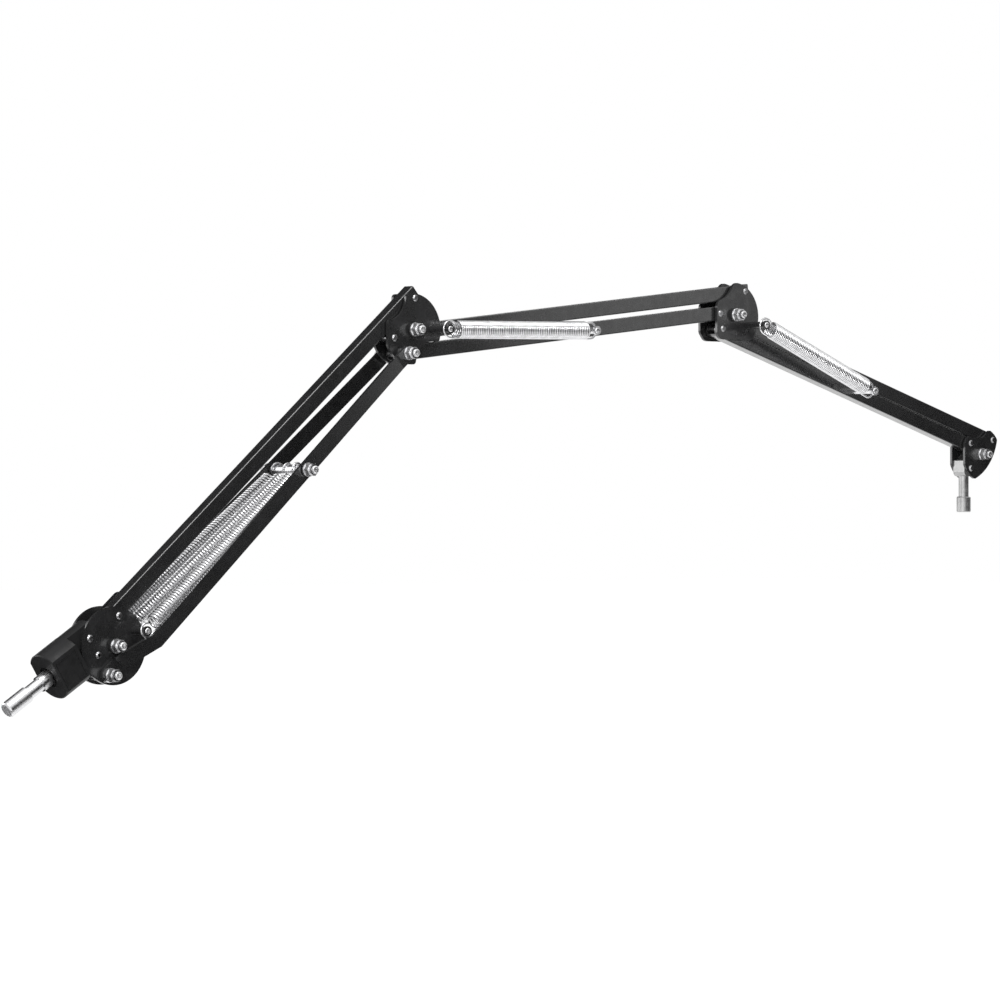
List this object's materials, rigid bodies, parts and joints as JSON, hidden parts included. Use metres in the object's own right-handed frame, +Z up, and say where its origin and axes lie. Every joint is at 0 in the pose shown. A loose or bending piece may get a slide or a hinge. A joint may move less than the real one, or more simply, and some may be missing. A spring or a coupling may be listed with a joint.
{
  "type": "microphone boom arm",
  "caption": "Spring-balanced microphone boom arm: hinged parallelogram sections of black bars between pivot plates, with a chromed base spigot and a hanging microphone stud.",
  "frame": {"origin": "middle of the grip of the base spigot, on its axis", "axes": "+X along the arm from base to microphone, +Z up, -Y the near side with the nuts and the spring posts"},
  "size_m": [1.3521, 0.0858, 0.4357],
  "materials": {
    "black_paint": "semi-gloss black",
    "panel_black": "satin black",
    "chrome": "polished",
    "spring_wire": "bright plated",
    "zinc_steel": "zinc plated",
    "dull_silver": "dull, blasted"
  },
  "bodies": {
    "base": {"base_spigot": "chrome", "base_block": "black_paint", "block_panel": "panel_black", "base_plate_near": "black_paint", "base_plate_far": "black_paint", "base_block_rivets": "zinc_steel", "base_hub_bolt": "zinc_steel", "base_hub_nut": "zinc_steel", "base_spacers": "zinc_steel", "base_upper_pin": "zinc_steel", "base_lower_bolt": "zinc_steel", "base_lower_nut": "zinc_steel", "base_spring_post": "black_paint"},
    "lower_bar": {"lower_upper_bar": "black_paint"},
    "lower_links": {"lower_link_near": "black_paint", "lower_link_far": "black_paint", "spring_cross_bolt": "zinc_steel", "cross_bolt_nut": "zinc_steel", "cross_bolt_sleeve": "zinc_steel"},
    "lower_swing": {"lower_spring_eyes": "spring_wire"},
    "lower_stretch": {"lower_spring_near": "spring_wire", "lower_spring_middle": "spring_wire", "lower_spring_far": "spring_wire", "lower_spring_hooks": "spring_wire"},
    "elbow": {"elbow_plate_near": "black_paint", "elbow_plate_far": "black_paint", "elbow_hub_bolt": "zinc_steel", "elbow_hub_nut": "zinc_steel", "elbow_hub_spacer": "zinc_steel", "elbow_upper_pin": "zinc_steel", "elbow_rivet": "zinc_steel", "elbow_lower_bolt": "zinc_steel", "elbow_lower_nut": "zinc_steel", "elbow_lower_spacers": "zinc_steel", "elbow_spring_post": "black_paint"},
    "middle_top": {"middle_upper_bar": "black_paint"},
    "middle_bottom": {"middle_lower_bar": "black_paint", "middle_spring_pin": "zinc_steel"},
    "middle_swing": {"middle_spring_eye": "spring_wire"},
    "middle_stretch": {"middle_spring": "spring_wire", "middle_spring_hook": "spring_wire"},
    "wrist": {"wrist_plate_near": "black_paint", "wrist_plate_far": "black_paint", "wrist_hub_bolt": "zinc_steel", "wrist_hub_nut": "zinc_steel", "wrist_pins": "zinc_steel", "wrist_spring_post": "black_paint"},
    "upper_top": {"upper_upper_bar": "black_paint"},
    "upper_bottom": {"upper_lower_bar": "black_paint", "upper_spring_pin": "zinc_steel"},
    "upper_swing": {"upper_spring_eye": "spring_wire"},
    "upper_stretch": {"upper_spring": "spring_wire", "upper_spring_hook": "spring_wire"},
    "head": {"head_plate_near": "black_paint", "head_plate_far": "black_paint", "head_bolt": "zinc_steel", "head_nut": "zinc_steel", "head_pins": "zinc_steel", "head_stud": "dull_silver"}
  },
  "joints": [
    {"name": "lower_arm_lift", "type": "hinge", "parent": "base", "child": "lower_bar", "pos_m": [0.10988, 0, 0.07949], "axis": [0, -1, 0], "range_deg": [-45, 0.5]},
    {"name": "lower_links_turn", "type": "hinge", "parent": "base", "child": "lower_links", "pos_m": [0.09427, 0, 0.02351], "axis": [0, -1, 0], "range_deg": [-45, 0.5]},
    {"name": "elbow_level", "type": "hinge", "parent": "lower_bar", "child": "elbow", "pos_m": [0.47639, 0, 0.39252], "axis": [0, -1, 0], "range_deg": [-0.5, 45]},
    {"name": "lower_spring_swing", "type": "hinge", "parent": "base", "child": "lower_swing", "pos_m": [0.12688, 0, 0.06503], "axis": [0, -1, 0], "range_deg": [-51.84, 0.63]},
    {"name": "lower_spring_stretch", "type": "slide", "parent": "lower_swing", "child": "lower_stretch", "axis": [0.7868, 0, 0.6172], "range_m": [-0.00079, 0.02633], "deforming": ["lower_spring_near", "lower_spring_middle", "lower_spring_far", "lower_spring_hooks"]},
    {"name": "middle_arm_lift", "type": "hinge", "parent": "elbow", "child": "middle_top", "pos_m": [0.49799, 0, 0.36104], "axis": [0, -1, 0], "range_deg": [-50, 4]},
    {"name": "middle_bottom_turn", "type": "hinge", "parent": "elbow", "child": "middle_bottom", "pos_m": [0.46078, 0, 0.33654], "axis": [0, -1, 0], "range_deg": [-50, 4]},
    {"name": "wrist_level", "type": "hinge", "parent": "middle_top", "child": "wrist", "pos_m": [0.93886, 0, 0.41361], "axis": [0, -1, 0], "range_deg": [-4, 50]},
    {"name": "middle_spring_swing", "type": "hinge", "parent": "elbow", "child": "middle_swing", "pos_m": [0.49799, 0, 0.36104], "axis": [0, -1, 0], "range_deg": [-55.09, 4.45]},
    {"name": "middle_spring_stretch", "type": "slide", "parent": "middle_swing", "child": "middle_stretch", "axis": [0.9998, 0, 0.0185], "range_m": [-0.00311, 0.03308], "deforming": ["middle_spring", "middle_spring_hook"]},
    {"name": "upper_arm_lift", "type": "hinge", "parent": "wrist", "child": "upper_top", "pos_m": [0.94185, 0, 0.37682], "axis": [0, -1, 0], "range_deg": [-50, 0]},
    {"name": "upper_bottom_turn", "type": "hinge", "parent": "wrist", "child": "upper_bottom", "pos_m": [0.90565, 0, 0.3728], "axis": [0, -1, 0], "range_deg": [-50, 0]},
    {"name": "head_level", "type": "hinge", "parent": "upper_top", "child": "head", "pos_m": [1.32933, 0, 0.25761], "axis": [0, -1, 0], "range_deg": [0, 50]},
    {"name": "upper_spring_swing", "type": "hinge", "parent": "wrist", "child": "upper_swing", "pos_m": [0.94185, 0, 0.37682], "axis": [0, -1, 0], "range_deg": [-55.17, 0.05]},
    {"name": "upper_spring_stretch", "type": "slide", "parent": "upper_swing", "child": "upper_stretch", "axis": [0.9264, 0, -0.3764], "range_m": [-0.0005, 0.02605], "deforming": ["upper_spring", "upper_spring_hook"]}
  ],
  "couplings": [
    {"joint": "lower_links_turn", "follows": "lower_arm_lift", "ratio": 1},
    {"joint": "elbow_level", "follows": "lower_arm_lift", "ratio": -1},
    {"joint": "lower_spring_swing", "follows": "lower_arm_lift", "ratio": 1.151},
    {"joint": "lower_spring_stretch", "follows": "lower_arm_lift", "m_per_rad": -0.03289},
    {"joint": "middle_bottom_turn", "follows": "middle_arm_lift", "ratio": 1},
    {"joint": "wrist_level", "follows": "middle_arm_lift", "ratio": -1},
    {"joint": "middle_spring_swing", "follows": "middle_arm_lift", "ratio": 1.1007},
    {"joint": "middle_spring_stretch", "follows": "middle_arm_lift", "m_per_rad": -0.03733},
    {"joint": "upper_bottom_turn", "follows": "upper_arm_lift", "ratio": 1},
    {"joint": "head_level", "follows": "upper_arm_lift", "ratio": -1},
    {"joint": "upper_spring_swing", "follows": "upper_arm_lift", "ratio": 1.1025},
    {"joint": "upper_spring_stretch", "follows": "upper_arm_lift", "m_per_rad": -0.02928}
  ]
}
